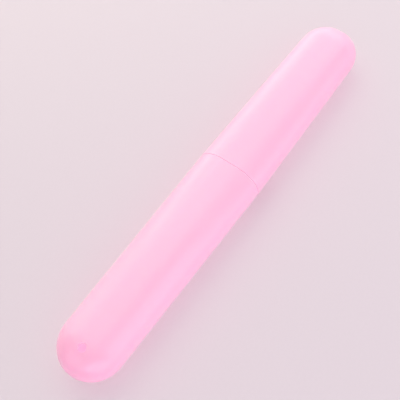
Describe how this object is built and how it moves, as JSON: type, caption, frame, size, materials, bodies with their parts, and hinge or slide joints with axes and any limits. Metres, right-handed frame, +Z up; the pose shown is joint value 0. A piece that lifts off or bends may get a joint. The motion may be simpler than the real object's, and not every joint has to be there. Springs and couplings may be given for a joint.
{
  "type": "toothbrush case",
  "caption": "Travel toothbrush case: a flattened tube with domed ends, as a body with a stepped neck and a small vent hole, and a cap that pushes over the neck, in translucent pink plastic.",
  "frame": {"origin": "on the surface that the closed case lies on, below the middle of its length and width", "axes": "+X along the case towards the closed end of the cap, +Z up, out of the side with the vent hole"},
  "size_m": [0.205, 0.0308, 0.0205],
  "materials": {
    "body_plastic": "satin, translucent pink polypropylene, slightly deeper where the wall curves away",
    "cap_plastic": "satin, translucent pink polypropylene"
  },
  "bodies": {
    "body": {"body_tube": "body_plastic"},
    "cap": {"cap": "cap_plastic"}
  },
  "joints": [
    {"name": "cap_pull", "type": "slide", "parent": "body", "child": "cap", "axis": [1, 0, 0], "range_m": [0, 0.06]}
  ]
}
